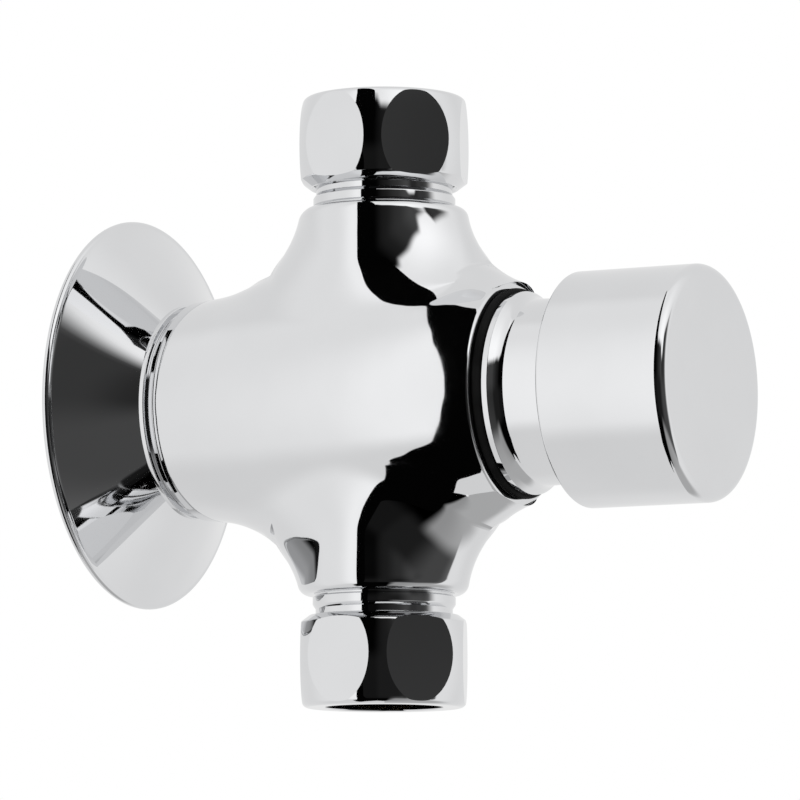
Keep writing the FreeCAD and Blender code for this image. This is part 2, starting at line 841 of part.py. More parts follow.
def make_all():
    outlet_nut = make_nut()
    outlet_olive = make_olive()
    return {
        "valve_body": make_valve_body(),
        "inlet_nut": mirrored_to_bottom(outlet_nut),
        "outlet_nut": outlet_nut,
        "inlet_olive": mirrored_to_bottom(outlet_olive),
        "outlet_olive": outlet_olive,
        "inlet_filter": make_inlet_filter(),
        "flow_regulator": make_flow_regulator(),
        "regulator_seal": make_regulator_seal(),
        "wall_plate": make_wall_plate(),
        "wall_stud": make_wall_stud(),
        "stud_lock_nut": make_stud_lock_nut(),
        "rear_plug": make_rear_plug(),
        "rear_plug_seal": make_rear_plug_seal(),
        "wall_flange": make_wall_flange(),
        "body_seal": make_body_seal(),
        "cartridge_housing": make_cartridge_housing(),
        "gland_bush": make_gland_bush(),
        "spindle_seal": make_spindle_seal(),
        "timing_pin": make_timing_pin(),
        "spring_retainer": make_spring_retainer(),
        "retaining_ring": make_retaining_ring(),
        "return_spring": make_return_spring(),
        "valve_seat": make_valve_seat(),
        "piston": make_piston(),
        "piston_seal": make_piston_seal(),
        "spindle": make_spindle(),
        "seat_washer": make_seat_washer(),
        "poppet": make_poppet(),
        "spindle_nut": make_spindle_nut(),
        "button_cap": make_button_cap(),
        "button_insert": make_button_insert(),
        "button_screw": make_button_screw(),
    }


os.makedirs("parts", exist_ok=True)
for node, shape in make_all().items():
    shape.exportStep("parts/" + node + ".step")
    print(node, len(shape.Solids), shape.isValid(), round(shape.Volume, 1))
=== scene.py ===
import math

import bmesh
import bpy
import numpy as np
from mathutils import Matrix, Vector


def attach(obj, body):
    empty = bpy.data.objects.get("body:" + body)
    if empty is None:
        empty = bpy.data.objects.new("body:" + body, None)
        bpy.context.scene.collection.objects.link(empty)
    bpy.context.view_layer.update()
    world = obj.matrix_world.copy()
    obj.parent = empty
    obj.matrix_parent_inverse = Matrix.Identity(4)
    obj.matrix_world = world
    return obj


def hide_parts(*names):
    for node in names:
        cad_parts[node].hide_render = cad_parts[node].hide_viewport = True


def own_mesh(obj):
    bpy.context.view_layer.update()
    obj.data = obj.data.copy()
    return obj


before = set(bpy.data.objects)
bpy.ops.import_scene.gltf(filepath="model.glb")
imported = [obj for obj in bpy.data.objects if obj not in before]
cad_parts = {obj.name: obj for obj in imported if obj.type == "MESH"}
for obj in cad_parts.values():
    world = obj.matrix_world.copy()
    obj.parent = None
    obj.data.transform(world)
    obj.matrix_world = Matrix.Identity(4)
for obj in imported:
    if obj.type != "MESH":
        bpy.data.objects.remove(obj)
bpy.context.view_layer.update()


# Wall fixing: a punched steel plate screwed to the wall, a stud riveted into it and a hexagon
# nut that locks the valve on the stud. All three are zinc plated.


def new_group(name, inputs, outputs):
    """Empty node group with named number inputs and named outputs."""
    group = bpy.data.node_groups.new(name, "ShaderNodeTree")
    for socket, value in inputs.items():
        made = group.interface.new_socket(socket, in_out="INPUT", socket_type="NodeSocketFloat")
        made.default_value = value
    for socket, kind in outputs.items():
        group.interface.new_socket(socket, in_out="OUTPUT", socket_type=kind)
    group.nodes.new("NodeGroupInput").name = "in"
    group.nodes.new("NodeGroupOutput").name = "out"
    return group


def wear_group():
    """Cloudy wear of a handled surface: a mask, a roughness and a faint waviness."""
    group = new_group(
        "handled_surface",
        {"Cloud Scale": 60.0, "Grain Scale": 900.0, "Roughness": 0.1, "Roughness Spread": 0.05,
         "Wave Height": 0.00001, "Grain Height": 0.000001},
        {"Mask": "NodeSocketFloat", "Roughness": "NodeSocketFloat", "Normal": "NodeSocketVector"})
    nodes, link = group.nodes, group.links.new
    place = nodes.new("ShaderNodeTexCoord")
    cloud = nodes.new("ShaderNodeTexNoise")
    cloud.inputs["Detail"].default_value = 2.0
    grain = nodes.new("ShaderNodeTexNoise")
    grain.inputs["Detail"].default_value = 3.0
    given = nodes["in"].outputs
    for texture, scale in ((cloud, "Cloud Scale"), (grain, "Grain Scale")):
        link(place.outputs["Object"], texture.inputs["Vector"])
        link(given[scale], texture.inputs["Scale"])
    rough = nodes.new("ShaderNodeMath")
    rough.operation = "MULTIPLY_ADD"
    link(grain.outputs["Fac"], rough.inputs[0])
    link(given["Roughness Spread"], rough.inputs[1])
    link(given["Roughness"], rough.inputs[2])
    wave = nodes.new("ShaderNodeBump")
    link(cloud.outputs["Fac"], wave.inputs["Height"])
    link(given["Wave Height"], wave.inputs["Distance"])
    fine = nodes.new("ShaderNodeBump")
    link(grain.outputs["Fac"], fine.inputs["Height"])
    link(given["Grain Height"], fine.inputs["Distance"])
    link(wave.outputs["Normal"], fine.inputs["Normal"])
    link(cloud.outputs["Fac"], nodes["out"].inputs["Mask"])
    link(rough.outputs["Value"], nodes["out"].inputs["Roughness"])
    link(fine.outputs["Normal"], nodes["out"].inputs["Normal"])
    return group


handled_surface = wear_group()
tone_edges = (0.3, 0.7)


def new_material(name, light, dark, metallic, wear):
    """Material whose colour drifts between two tones and whose gloss comes from the wear group."""
    material = bpy.data.materials.new(name)
    material.use_nodes = True
    nodes, link = material.node_tree.nodes, material.node_tree.links.new
    shader = nodes["Principled BSDF"]
    shader.inputs["Metallic"].default_value = metallic
    marks = nodes.new("ShaderNodeGroup")
    marks.node_tree = handled_surface
    for socket, value in wear.items():
        marks.inputs[socket].default_value = value
    tone = nodes.new("ShaderNodeValToRGB")
    for stop, position, colour in zip(tone.color_ramp.elements, tone_edges, (dark, light)):
        stop.position = position
        stop.color = (*colour, 1)
    link(marks.outputs["Mask"], tone.inputs["Fac"])
    link(tone.outputs["Color"], shader.inputs["Base Color"])
    link(marks.outputs["Roughness"], shader.inputs["Roughness"])
    link(marks.outputs["Normal"], shader.inputs["Normal"])
    return material


zinc_steel = new_material(
    "zinc_steel", (0.62, 0.62, 0.58), (0.50, 0.52, 0.50), 1.0,
    {"Cloud Scale": 90.0, "Grain Scale": 2500.0, "Roughness": 0.26, "Roughness Spread": 0.2,
     "Wave Height": 0.00001, "Grain Height": 0.00001})


def coat(material, *nodes):
    """Gives CAD nodes that keep their shape a material."""
    for name in nodes:
        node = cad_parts[name]
        node.data.materials.clear()
        node.data.materials.append(material)


coat(zinc_steel, "wall_plate", "wall_stud", "stud_lock_nut")


# Valve body: one brass casting, a cross of an upright and two thick arms that flow into each
# other, ground by hand and chrome plated, so its skin is faintly wavy. Its ends are turned: spigots
# for the pipe nuts, a ridged tail for the flange and a wide bore in front, bare brass inside.
chrome_light = (0.77, 0.775, 0.785)
chrome_dark = (0.75, 0.755, 0.765)
chrome_wear = {"Grain Scale": 1400.0, "Roughness": 0.015, "Roughness Spread": 0.03,
               "Grain Height": 0.0}
chrome = new_material(
    "chrome", chrome_light, chrome_dark, 1.0,
    {**chrome_wear, "Cloud Scale": 70.0, "Wave Height": 0.000004})
cast_chrome = new_material(
    "cast_chrome", chrome_light, chrome_dark, 1.0,
    {**chrome_wear, "Cloud Scale": 60.0, "Wave Height": 0.00012})
brass = new_material(
    "brass", (0.74, 0.56, 0.30), (0.62, 0.46, 0.24), 1.0,
    {"Cloud Scale": 120.0, "Grain Scale": 1800.0, "Roughness": 0.18, "Roughness Spread": 0.16,
     "Wave Height": 0.00001, "Grain Height": 0.000006})

mm = 0.001
along_y, along_z = 1, 2
pipe_axis = Vector((0, -53.0, 0))
upright_radius = 15.7
middle_arm_radius = 23.1
widest_ahead = 1.0
front_swell = 159.6
rear_swell = 374.4
crotch_radius = 21.0
rolling_passes = 12
cage_half = 13.0
cage_cuts = 31
settle_passes = 6
hold_passes = 4
rim_steps = 8
merge_distance = 0.0002
upright_flank_end = 34.8
upright_end = 36.6
rear_flank_end = 38.1
rear_end = 38.6
front_flank_end = 27.5
front_end = 28.0


def arm_profile(y, beyond):
    """Radius of the swelling arms, grown outward by beyond, and its normal's two shares."""
    behind = y + widest_ahead
    swell = np.where(behind < 0, front_swell, rear_swell)
    rise = np.sqrt(np.maximum((swell + beyond) ** 2 - behind ** 2, 1e-9))
    return middle_arm_radius - swell + rise, rise / (swell + beyond), behind / (swell + beyond)


def on_cast_surface(points):
    """Moves points, in millimetres from the middle of the cross, onto its skin.

    The crotch is what a ball leaves that rolls between upright and arms. Also returns the
    skin's outward directions there.
    """
    side = np.where(points[:, 2] < 0, -1.0, 1.0)
    flip = np.stack([np.ones_like(side), np.ones_like(side), side], axis=1)
    local = points * flip
    reach = upright_radius + crotch_radius
    turn = np.arctan2(local[:, 1], local[:, 0])
    for _ in range(rolling_passes):
        ball_x, ball_y = reach * np.cos(turn), reach * np.sin(turn)
        ball_reach, level, lean = arm_profile(ball_y, crotch_radius)
        ball_z = np.sqrt(ball_reach ** 2 - ball_x ** 2)
        ball = np.stack([ball_x, ball_y, ball_z], axis=1)
        from_upright = np.stack([ball_x, ball_y, np.zeros_like(ball_x)], axis=1) / reach
        from_arm = np.stack(
            [ball_x / ball_reach * level, lean, ball_z / ball_reach * level], axis=1)
        along = np.cross(from_upright, from_arm)
        along /= np.linalg.norm(along, axis=1)[:, None]
        slide = np.sum((local - ball) * along, axis=1)
        moved = ball + along * slide[:, None]
        turn = np.arctan2(moved[:, 1], moved[:, 0])
    back = ball - local
    across = np.sum(from_upright * from_arm, axis=1)
    on_upright = np.sum(back * from_upright, axis=1)
    on_arm = np.sum(back * from_arm, axis=1)
    share_upright = on_upright - across * on_arm
    share_arm = on_arm - across * on_upright
    spread = np.linalg.norm(back, axis=1)[:, None]
    crotch_normal = back / np.maximum(spread, 1e-9)
    crotch = ball - crotch_normal * crotch_radius
    upright_normal = local * np.array([1.0, 1.0, 0.0])
    upright_normal /= np.maximum(np.linalg.norm(upright_normal, axis=1), 1e-9)[:, None]
    upright = upright_normal * upright_radius + local * np.array([0.0, 0.0, 1.0])
    arm_size, level, lean = arm_profile(local[:, 1], 0.0)
    spoke = local * np.array([1.0, 0.0, 1.0])
    spoke /= np.maximum(np.linalg.norm(spoke, axis=1), 1e-9)[:, None]
    arm = spoke * arm_size[:, None] + local * np.array([0.0, 1.0, 0.0])
    arm_normal = spoke * level[:, None] + lean[:, None] * np.array([0.0, 1.0, 0.0])
    pick_upright = (share_arm <= 0)[:, None]
    pick_arm = (share_upright <= 0)[:, None]
    placed = np.where(pick_arm, arm, np.where(pick_upright, upright, crotch))
    normal = np.where(pick_arm, arm_normal, np.where(pick_upright, upright_normal, crotch_normal))
    return placed * flip, normal * flip


def cross_cage():
    """Cube with four faces drawn out into arms, divided finely, open at the four ends."""
    cage = bmesh.new()
    bmesh.ops.create_cube(cage, size=2 * cage_half)
    ends = {}
    for axis, sign, end in ((along_z, 1, upright_flank_end), (along_z, -1, upright_flank_end),
                            (along_y, 1, rear_flank_end), (along_y, -1, front_flank_end)):
        direction = Vector((0, 0, 0))
        direction[axis] = sign
        middle_of_face = direction * cage_half
        face = min(cage.faces, key=lambda f: (f.calc_center_median() - middle_of_face).length)
        drawn = bmesh.ops.extrude_face_region(cage, geom=[face])
        bmesh.ops.delete(cage, geom=[face], context="FACES_ONLY")
        fresh = [item for item in drawn["geom"] if isinstance(item, bmesh.types.BMVert)]
        bmesh.ops.translate(cage, verts=fresh, vec=direction * (end - cage_half))
        cap = [item for item in drawn["geom"] if isinstance(item, bmesh.types.BMFace)]
        bmesh.ops.delete(cage, geom=cap, context="FACES_ONLY")
        ends[axis, sign] = sign * end
    bmesh.ops.subdivide_edges(cage, edges=cage.edges, cuts=cage_cuts, use_grid_fill=True)
    return cage, ends


def settle(cage, ends):
    """Evens out the grid and pulls it onto the skin; the end rings stay in their planes."""
    cage.verts.ensure_lookup_table()
    rings = {}
    for (axis, sign), level in ends.items():
        rings[axis, sign] = [v.index for v in cage.verts
                             if v.is_boundary and abs(v.co[axis] - level) < 0.01]
    all_rings = sum(rings.values(), [])

    def hold_rings(points):
        for (axis, sign), level in ends.items():
            points[rings[axis, sign], axis] = level

    for _ in range(settle_passes):
        bmesh.ops.smooth_vert(cage, verts=cage.verts, factor=0.5,
                              use_axis_x=True, use_axis_y=True, use_axis_z=True)
        points = np.array([v.co for v in cage.verts])
        hold_rings(points)
        points, normals = on_cast_surface(points)
        for _ in range(hold_passes):
            hold_rings(points)
            points[all_rings], normals[all_rings] = on_cast_surface(points[all_rings])
        hold_rings(points)
        for vert, point in zip(cage.verts, points):
            vert.co = point
    return rings, normals


def grow_ring(shape, edges, axis, place, material_index):
    """Extrudes an open edge ring once; place gives each new corner's level and radius."""
    drawn = bmesh.ops.extrude_edge_only(shape, edges=edges)["geom"]
    other = [i for i in range(3) if i != axis]
    for vert in (item for item in drawn if isinstance(item, bmesh.types.BMVert)):
        turn = math.atan2(vert.co[other[1]], vert.co[other[0]])
        level, radius = place(turn)
        vert.co[axis] = level
        vert.co[other[0]] = radius * math.cos(turn)
        vert.co[other[1]] = radius * math.sin(turn)
    for face in (item for item in drawn if isinstance(item, bmesh.types.BMFace)):
        face.material_index = material_index
    return [item for item in drawn if isinstance(item, bmesh.types.BMEdge) and item.is_boundary]


def finish_end(shape, ring, normals, axis, sign, end, outline):
    """Rounds the rim of a cross end and grows the turned outline from it, ring by ring."""
    other = [i for i in range(3) if i != axis]
    rim = {}
    for index in ring:
        vert, normal = shape.verts[index], normals[index]
        turn = math.atan2(vert.co[other[1]], vert.co[other[0]])
        outward = Vector((math.cos(turn), math.sin(turn)))
        across = normal[other[0]] * outward[0] + normal[other[1]] * outward[1]
        lean = math.atan2(sign * normal[axis], across)
        height = abs(end) - abs(vert.co[axis])
        rounding = height / math.cos(lean) / math.tan((math.pi / 2 - lean) / 2)
        radius = math.hypot(vert.co[other[0]], vert.co[other[1]])
        rim[round(turn, 3)] = (radius, abs(vert.co[axis]), lean, rounding)

    def rim_place(share):
        def place(turn):
            radius, level, lean, rounding = rim[min(rim, key=lambda key: abs(key - turn))]
            angle = lean + share * (math.pi / 2 - lean)
            return (sign * (level + rounding * (math.sin(angle) - math.sin(lean))),
                    radius + rounding * (math.cos(angle) - math.cos(lean)))
        return place

    members = {shape.verts[index] for index in ring}
    edges = [e for e in shape.edges if e.is_boundary and members.issuperset(e.verts)]
    for step in range(1, rim_steps + 1):
        edges = grow_ring(shape, edges, axis, rim_place(step / rim_steps), 0)
    for level, radius, material_index in outline:
        edges = grow_ring(shape, edges, axis, lambda turn: (level, radius), material_index)
    return edges


def finished(name, shape, materials, node, body, sharp_degrees=32):
    """Turns a closed shape drawn in millimetres into a piece that stands for a CAD node.

    Its faces are turned outward: where they all point inward, the shape's volume is negative.
    """
    bmesh.ops.remove_doubles(shape, verts=shape.verts, dist=merge_distance)
    bmesh.ops.recalc_face_normals(shape, faces=shape.faces)
    if shape.calc_volume(signed=True) < 0:
        bmesh.ops.reverse_faces(shape, faces=shape.faces)
    bmesh.ops.scale(shape, vec=(mm, mm, mm), verts=shape.verts)
    mesh = bpy.data.meshes.new(name)
    shape.to_mesh(mesh)
    shape.free()
    for material in materials:
        mesh.materials.append(material)
    marked = [edge.use_edge_sharp for edge in mesh.edges]
    mesh.shade_smooth()
    mesh.set_sharp_from_angle(angle=math.radians(sharp_degrees))
    for edge, sharp in zip(mesh.edges, marked):
        if sharp:
            edge.use_edge_sharp = True
    piece = bpy.data.objects.new(name, mesh)
    bpy.context.scene.collection.objects.link(piece)
    shading = piece.modifiers.new("even_shading", "WEIGHTED_NORMAL")
    shading.keep_sharp = True
    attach(piece, body)
    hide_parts(node)
    return piece


casting, casting_ends = cross_cage()
end_rings, skin_normals = settle(casting, casting_ends)
# Each corner of these outlines is (level, radius, 1 where the brass stays bare).
spigot_outline = (
    (36.6, 12.9, 0), (36.9, 12.9, 0), (36.9, 13.2, 0), (37.15, 13.45, 0), (38.45, 13.45, 0),
    (38.7, 13.3, 0), (39.3, 12.9, 0), (41.0, 12.9, 0), (41.3, 13.2, 0), (49.7, 13.2, 0),
    (50.0, 12.9, 0), (50.0, 12.4, 1), (48.7, 11.1, 1), (36.0, 11.1, 1), (36.0, 9.8, 1))
casting.verts.ensure_lookup_table()
for sign, recess in ((1, 31.8), (-1, 34.8)):
    outline = [(sign * level, radius, bare) for level, radius, bare in spigot_outline]
    outline += [(sign * recess, 9.8, 1), (sign * recess, 3.0, 1)]
    socket_floor = finish_end(
        casting, end_rings[along_z, sign], skin_normals, along_z, sign, upright_end, outline)
    bmesh.ops.edgeloop_fill(casting, edges=socket_floor, mat_nr=1)
    casting.verts.ensure_lookup_table()
tail_outline = (
    (14.4, 19.9, 0), (13.85, 19.9, 0), (13.45, 19.3, 0), (13.05, 19.9, 0), (12.65, 19.3, 0),
    (9.8, 19.3, 0), (9.4, 18.9, 0), (9.4, 13.0, 1), (30.0, 13.0, 1), (30.0, 10.0, 1),
    (50.0, 10.0, 1), (50.0, 7.5, 1))
tail_hole = finish_end(
    casting, end_rings[along_y, 1], skin_normals, along_y, 1, rear_end,
    [(-pipe_axis.y - distance, radius, bare) for distance, radius, bare in tail_outline])
casting.verts.ensure_lookup_table()
front_outline = ((81.0, 15.2, 0), (54.0, 15.2, 1), (54.0, 7.5, 1))
front_hole = finish_end(
    casting, end_rings[along_y, -1], skin_normals, along_y, -1, front_end,
    [(-pipe_axis.y - distance, radius, bare) for distance, radius, bare in front_outline])
bmesh.ops.bridge_loops(casting, edges=tail_hole + front_hole)
bmesh.ops.translate(casting, verts=casting.verts, vec=pipe_axis)
finished("cast_body", casting, (cast_chrome, brass), "valve_body", "valve")


# Rear plug and its seal: a brass plug with a driving slot closes the inlet chamber from behind
# and takes the stud; a flat rubber ring lies under it.
black_rubber = new_material(
    "black_rubber", (0.008, 0.008, 0.008), (0.004, 0.004, 0.004), 0.0,
    {"Cloud Scale": 200.0, "Grain Scale": 4000.0, "Roughness": 0.5, "Roughness Spread": 0.2,
     "Wave Height": 0.00002, "Grain Height": 0.00001})
black_rubber.node_tree.nodes["Principled BSDF"].inputs["Specular IOR Level"].default_value = 0.05
coat(brass, "rear_plug")
coat(black_rubber, "rear_plug_seal")


# Wall flange: a trumpet spun from thin brass and chromed, with a fine rolled rim at the wall. Its
# short threaded collar turns on the body's tail and covers the plate.
flange_arc_steps = 28
rim_arc_steps = 8
fine_steps = 180
degrees_per_facet = 9
most_facets = 12
spin_merge_distance = 0.0005


def bend(start, middle, end, steps):
    """Points of the circular arc through three (distance, radius) points, with both ends."""
    a, b, c = (complex(*point) for point in (start, middle, end))
    w = (c - a) / (b - a)
    centre = a + (b - a) * (w - abs(w) ** 2) / (2j * w.imag)
    first = a - centre
    sweep = (c - centre) / first
    angle = math.atan2(sweep.imag, sweep.real)
    halfway = (b - centre) / first
    if angle * math.atan2(halfway.imag, halfway.real) < 0:
        angle -= math.copysign(2 * math.pi, angle)
    points = []
    for step in range(steps + 1):
        turn = angle * step / steps
        point = centre + first * complex(math.cos(turn), math.sin(turn))
        points.append((point.real, point.imag, 0))
    return points


def turned(corners, along, side, foot, closed, steps=144):
    """Lathe work: an outline of (distance, radius, rounding) corners spun round an axis."""
    shape = bmesh.new()
    verts = [shape.verts.new(foot + along * corner[0] + side * corner[1]) for corner in corners]
    for first, second in zip(verts, verts[1:]):
        shape.edges.new((first, second))
    if closed:
        shape.edges.new((verts[-1], verts[0]))
    for vert, corner in zip(verts, corners):
        if corner[2] > 0:
            arms = [(edge.other_vert(vert).co - vert.co) for edge in vert.link_edges]
            half = arms[0].angle(arms[1]) / 2
            bend_degrees = math.degrees(math.pi - 2 * half)
            segments = max(2, min(most_facets, round(bend_degrees / degrees_per_facet)))
            bmesh.ops.bevel(shape, geom=[vert], offset=corner[2] / math.tan(half),
                            offset_type="OFFSET", segments=segments, profile=0.5,
                            affect="VERTICES", material=-1)
    bmesh.ops.spin(shape, geom=shape.verts[:] + shape.edges[:], cent=foot, axis=along,
                   angle=2 * math.pi, steps=steps, use_merge=True)
    bmesh.ops.remove_doubles(shape, verts=shape.verts, dist=spin_merge_distance)
    return shape


def turned_on_button_axis(corners, closed=True, steps=144):
    """Lathe work round the button's axis; distances count from the wall."""
    return turned(corners, Vector((0, -1, 0)), Vector((0, 0, 1)), Vector((0, 0, 0)), closed, steps)


flange_outside = bend((1.4, 36.5), (5.8, 28.95), (11.4, 20.5), flange_arc_steps)
flange_inside = bend((9.7, 19.35), (4.6, 28.35), (0.0, 35.0), flange_arc_steps)
flange_rim = bend((0.0, 36.95), (0.7, 37.4), (1.4, 36.5), rim_arc_steps)
flange_outline = (flange_outside + [(12.3, 20.5, 0.15), (12.3, 19.35, 0)] + flange_inside
                  + flange_rim[:-1])
finished("trumpet_flange", turned_on_button_axis(flange_outline, steps=fine_steps), (chrome,),
         "wall_flange", "flange")


# Pipe ends: an olive, a strainer or flow regulator and a compression nut at each spigot. The nut
# is turned as a barrel from brass, six flats are milled on it, then it is chromed.
stainless = new_material(
    "stainless", (0.66, 0.67, 0.68), (0.58, 0.59, 0.60), 1.0,
    {"Cloud Scale": 110.0, "Grain Scale": 3000.0, "Roughness": 0.14, "Roughness Spread": 0.12,
     "Wave Height": 0.000008, "Grain Height": 0.000004})
grey_plastic = new_material(
    "grey_plastic", (0.30, 0.32, 0.34), (0.24, 0.26, 0.28), 0.0,
    {"Cloud Scale": 150.0, "Grain Scale": 3500.0, "Roughness": 0.38, "Roughness Spread": 0.15,
     "Wave Height": 0.00001, "Grain Height": 0.00001})
coat(brass, "inlet_olive", "outlet_olive")
coat(stainless, "inlet_filter")
coat(grey_plastic, "flow_regulator")
coat(black_rubber, "regulator_seal")

nut_across_flats = 30.5
nut_flats = 6
cut_tolerance = 0.0001
lower_flat_turn = -6.8
upper_flat_turn = -10.3
nut_arc_steps = 14
nut_barrel = bend((42.2, 16.05), (48.8, 16.72), (56.4, 15.6), nut_arc_steps)
nut_outline = (
    (40.5, 13.75, 0), (40.5, 14.1, 0.2), (41.9, 15.95, 0.3), *nut_barrel, (57.8, 15.2, 1.2),
    (57.8, 11.1, 0.25), (53.3, 11.1, 0), (51.15, 13.25, 0), (41.0, 13.25, 0))


def pipe_nut(sign, flat_turn):
    """Barrel nut on the upper (1) or lower (-1) spigot, with its flats cut plane by plane."""
    nut = turned(nut_outline, Vector((0, 0, sign)), Vector((0, 1, 0)), pipe_axis, closed=True)
    for index in range(nut_flats):
        turn = math.radians(flat_turn + 360 / nut_flats * index)
        outward = Vector((math.cos(turn), math.sin(turn), 0))
        cut = bmesh.ops.bisect_plane(
            nut, geom=nut.verts[:] + nut.edges[:] + nut.faces[:], dist=cut_tolerance,
            plane_co=pipe_axis + outward * nut_across_flats / 2, plane_no=outward, clear_outer=True)
        rim = [item for item in cut["geom_cut"] if isinstance(item, bmesh.types.BMEdge)]
        for edge in rim:
            edge.smooth = False
        bmesh.ops.edgeloop_fill(nut, edges=rim, mat_nr=0)
    return nut


finished("upper_pipe_nut", pipe_nut(1, upper_flat_turn), (chrome,),
         "outlet_nut", "upper_nut")
finished("lower_pipe_nut", pipe_nut(-1, lower_flat_turn), (chrome,),
         "inlet_nut", "lower_nut")


# Cartridge: a chromed brass housing screwed into the front of the body on a black ring, with the
# seat, poppet, spring, piston and gland inside. Its tapered neck carries the button's travel.
acetal = new_material(
    "acetal", (0.86, 0.86, 0.83), (0.80, 0.80, 0.77), 0.0,
    {"Cloud Scale": 130.0, "Grain Scale": 3000.0, "Roughness": 0.32, "Roughness Spread": 0.12,
     "Wave Height": 0.00001, "Grain Height": 0.000004})
coat(brass, "gland_bush", "spring_retainer", "poppet")
coat(black_rubber, "spindle_seal", "piston_seal", "seat_washer")
coat(stainless, "valve_seat", "spindle", "spindle_nut", "timing_pin", "retaining_ring")
coat(acetal, "piston")

seal_outline = ((81.0, 15.5, 0), (81.0, 19.7, 0.6), (82.65, 19.7, 0.6), (82.65, 15.5, 0))
finished("collar_seal", turned_on_button_axis(seal_outline), (black_rubber,),
         "body_seal", "valve")
housing_outline = (
    (65.0, 15.15, 0.4), (82.65, 15.15, 0), (82.65, 19.0, 0.3), (84.0, 19.0, 0.15),
    (85.6, 17.5, 3.0), (97.0, 17.05, 0), (97.4, 16.4, 0),
    (104.5, 16.4, 0.4), (104.5, 9.55, 0), (103.0, 9.55, 0), (103.0, 7.5, 0), (101.0, 7.5, 0),
    (101.0, 5.05, 0), (100.0, 5.05, 0), (100.0, 12.0, 0), (67.4, 12.0, 0), (67.4, 12.8, 0),
    (66.4, 12.8, 0), (66.4, 12.0, 0), (65.0, 12.0, 0))
finished("housing_neck", turned_on_button_axis(housing_outline), (chrome,),
         "cartridge_housing", "valve")

spring_start = 69.9
spring_gap = 0.05
spring_wire_radius = 0.8
wire_sides = 12
spring_mean_radius = 6.6
spring_turns = 6
spring_rise = 18.4
steps_per_turn = 36
spring = bmesh.new()
bmesh.ops.create_circle(spring, cap_ends=True, segments=wire_sides, radius=spring_wire_radius)
bmesh.ops.rotate(spring, verts=spring.verts, cent=(0, 0, 0),
                 matrix=Matrix.Rotation(math.radians(90), 3, "Y"))
bmesh.ops.translate(spring, verts=spring.verts,
                    vec=(0, -spring_start - spring_wire_radius - spring_gap, spring_mean_radius))
bmesh.ops.spin(spring, geom=spring.verts[:] + spring.edges[:] + spring.faces[:], cent=(0, 0, 0),
               axis=(0, -1, 0), dvec=(0, -spring_rise / spring_turns / steps_per_turn, 0),
               angle=2 * math.pi * spring_turns, steps=spring_turns * steps_per_turn)
coil = finished("coil_spring", spring, (stainless,), "return_spring", "valve", 60)
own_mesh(coil)


# Push button: a deep chromed brass cap with a flat face and a rounded front edge, screwed on an
# acetal core that turns on the spindle. The face is left plain.
coat(acetal, "button_insert")
coat(stainless, "button_screw")
button_outline = (
    (118.6, 0.0, 0), (118.6, 20.5, 0), (95.2, 20.5, 0.2), (95.2, 22.0, 0.5), (120.9, 22.0, 2.0),
    (120.9, 0.0, 0))
finished("push_button", turned_on_button_axis(button_outline, closed=False, steps=fine_steps),
         (chrome,), "button_cap", "button")


# Camera: a long lens at the photograph's angle, a little below the pipe axis. It is aimed so that
# the pipe axis' middle lies at the same point of the picture as in the photograph.
camera_azimuth = math.radians(-62.66)
camera_elevation = math.radians(-6.47)
focal_pixels = 5800.0
picture_side = 800
pixels_per_mm = 5.3
aim_pixel = (384.3, 401.6)
towards_camera = Vector((
    math.sin(camera_azimuth) * math.cos(camera_elevation),
    -math.cos(camera_azimuth) * math.cos(camera_elevation),
    math.sin(camera_elevation)))
camera_right = Vector((math.cos(camera_azimuth), math.sin(camera_azimuth), 0))
camera_up = towards_camera.cross(camera_right)
distance = focal_pixels / pixels_per_mm * mm
shift_right = (aim_pixel[0] - picture_side / 2) / focal_pixels * distance
shift_up = (picture_side / 2 - aim_pixel[1]) / focal_pixels * distance
camera_data = bpy.data.cameras.new("camera")
camera_data.lens = focal_pixels / picture_side * camera_data.sensor_width
camera_data.clip_start = 0.05
camera_data.clip_end = 50.0
camera = bpy.data.objects.new("camera", camera_data)
camera.location = (pipe_axis * mm + towards_camera * distance
                   - camera_right * shift_right - camera_up * shift_up)
camera.rotation_mode = "QUATERNION"
camera.rotation_quaternion = (-towards_camera).to_track_quat("-Z", "Y")
bpy.context.scene.collection.objects.link(camera)
bpy.context.scene.camera = camera


# Studio: pale seamless floor and white surroundings with one soft lamp above. Polished chrome
# shows its form by what it reflects, so a glowing dome round the valve carries painted reflections
# of the room's light and dark, and near-black drapes at the camera's left are a painted dark
# reflection. Dome and drapes show only in reflections.
middle = pipe_axis * mm
level_back = Vector((math.sin(camera_azimuth), -math.cos(camera_azimuth), 0))


def show(name, shape, material):
    """Puts a piece of the studio, which isn't part of the valve, into the scene."""
    mesh = bpy.data.meshes.new(name)
    shape.to_mesh(mesh)
    shape.free()
    mesh.materials.append(material)
    mesh.shade_smooth()
    made = bpy.data.objects.new(name, mesh)
    bpy.context.scene.collection.objects.link(made)
    return made


def glowing(name):
    """Emission whose strength comes from the mesh attribute named tone."""
    material = bpy.data.materials.new(name)
    material.use_nodes = True
    nodes, link = material.node_tree.nodes, material.node_tree.links.new
    nodes.clear()
    tone = nodes.new("ShaderNodeAttribute")
    tone.attribute_name = "tone"
    glow = nodes.new("ShaderNodeEmission")
    out = nodes.new("ShaderNodeOutputMaterial")
    link(tone.outputs["Fac"], glow.inputs["Strength"])
    link(glow.outputs["Emission"], out.inputs["Surface"])
    return material


painted_reflection_glow = glowing("painted_reflection_glow")


